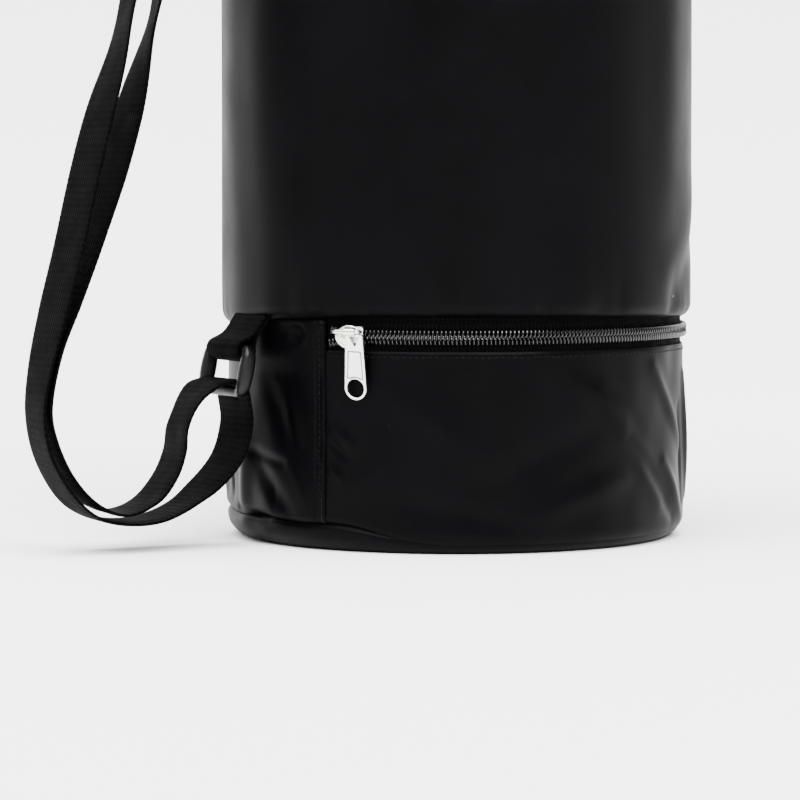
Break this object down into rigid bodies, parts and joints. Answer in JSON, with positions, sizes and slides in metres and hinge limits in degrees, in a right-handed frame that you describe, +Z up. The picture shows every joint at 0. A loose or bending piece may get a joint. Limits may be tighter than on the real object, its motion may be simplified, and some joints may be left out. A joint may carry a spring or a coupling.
{
  "type": "rope storage bag",
  "caption": "Cylindrical padded rope bag with a zipped pocket below, a zip-around lid and a doubled shoulder strap on rings.",
  "frame": {"origin": "centre of the flat base, on the surface the bag stands on", "axes": "+Z up the bag, -Y towards the front with the pocket's slider, +X to the right seen from the front"},
  "size_m": [0.25, 0.1896, 0.3998],
  "materials": {
    "shell_fabric": "black twill nylon, soft sheen",
    "lining_fabric": "smooth dark lining",
    "padding_foam": "closed-cell foam",
    "stiff_board": "matte board",
    "zip_tape": "fine twill tape",
    "zip_coil": "nylon coil",
    "nickel": "bright nickel plate",
    "webbing": "ribbed nylon webbing",
    "black_plastic": "moulded acetal"
  },
  "bodies": {
    "bag": {"main_shell": "shell_fabric", "main_foam": "padding_foam", "main_lining": "lining_fabric", "divider_floor": "lining_fabric", "rope_tie_in_loop": "webbing", "rim_binding": "zip_tape", "base_panel": "shell_fabric", "base_board": "stiff_board", "pocket_front_panel": "shell_fabric", "pocket_back_panel": "shell_fabric", "placket_left": "shell_fabric", "placket_right": "shell_fabric", "seam_welt": "shell_fabric", "pocket_zip_tape_upper": "zip_tape", "pocket_zip_tape_lower": "zip_tape", "pocket_zip_coil_upper": "zip_coil", "pocket_zip_coil_lower": "zip_coil", "pocket_zip_stop": "nickel", "lid_zip_tape_lower": "zip_tape", "lid_zip_coil_lower": "zip_coil", "lid_zip_stop": "nickel", "lower_anchor_webbing": "webbing", "upper_anchor_webbing": "webbing"},
    "lid": {"lid_lining": "lining_fabric", "lid_foam": "padding_foam", "lid_side_band": "shell_fabric", "lid_piping": "shell_fabric", "lid_top_panel": "shell_fabric", "lid_hinge_tape": "zip_tape", "lid_zip_tape_upper": "zip_tape", "lid_zip_coil_upper": "zip_coil"},
    "pocket_slider": {"pocket_zip_slider": "nickel"},
    "pocket_pull": {"pocket_zip_pull": "nickel"},
    "lid_slider": {"lid_zip_slider": "nickel"},
    "lid_pull": {"lid_zip_pull": "nickel"},
    "strap_loop": {"lower_ring": "black_plastic", "upper_ring": "black_plastic", "shoulder_strap": "webbing", "strap_end": "webbing"},
    "glide": {"tri_glide": "black_plastic"}
  },
  "joints": [
    {"name": "pocket_zip_travel", "type": "hinge", "parent": "bag", "child": "pocket_slider", "pos_m": [0, 0, 0.079], "axis": [0, 0, 1], "range_deg": [0, 166], "deforming": ["pocket_zip_coil_upper", "pocket_zip_coil_lower"]},
    {"name": "pocket_pull_lift", "type": "hinge", "parent": "pocket_slider", "child": "pocket_pull", "pos_m": [-0.04141, -0.08305, 0.081], "axis": [-0.8949, 0.4462, 0], "range_deg": [0, 150]},
    {"name": "lid_hinge", "type": "hinge", "parent": "bag", "child": "lid", "pos_m": [0, 0.0868, 0.382], "axis": [-1, 0, 0], "range_deg": [0, 110], "deforming": ["lid_hinge_tape"]},
    {"name": "lid_zip_travel", "type": "hinge", "parent": "bag", "child": "lid_slider", "pos_m": [0, 0, 0.382], "axis": [0, 0, 1], "range_deg": [0, 286], "deforming": ["lid_zip_coil_upper", "lid_zip_coil_lower"]},
    {"name": "lid_pull_lift", "type": "hinge", "parent": "lid_slider", "child": "lid_pull", "pos_m": [-0.0571, 0.07442, 0.384], "axis": [0.7934, 0.6088, 0], "range_deg": [0, 150]},
    {"name": "strap_swing", "type": "hinge", "parent": "bag", "child": "strap_loop", "pos_m": [-0.08574, -0.0495, 0.0655], "axis": [0, 0, 1], "range_deg": [-20, 20], "deforming": ["lower_anchor_webbing", "upper_anchor_webbing"]},
    {"name": "glide_slide", "type": "slide", "parent": "strap_loop", "child": "glide", "axis": [0.216, 0.1247, 0.9684], "range_m": [-0.03, 0.03], "deforming": ["strap_end"]}
  ]
}
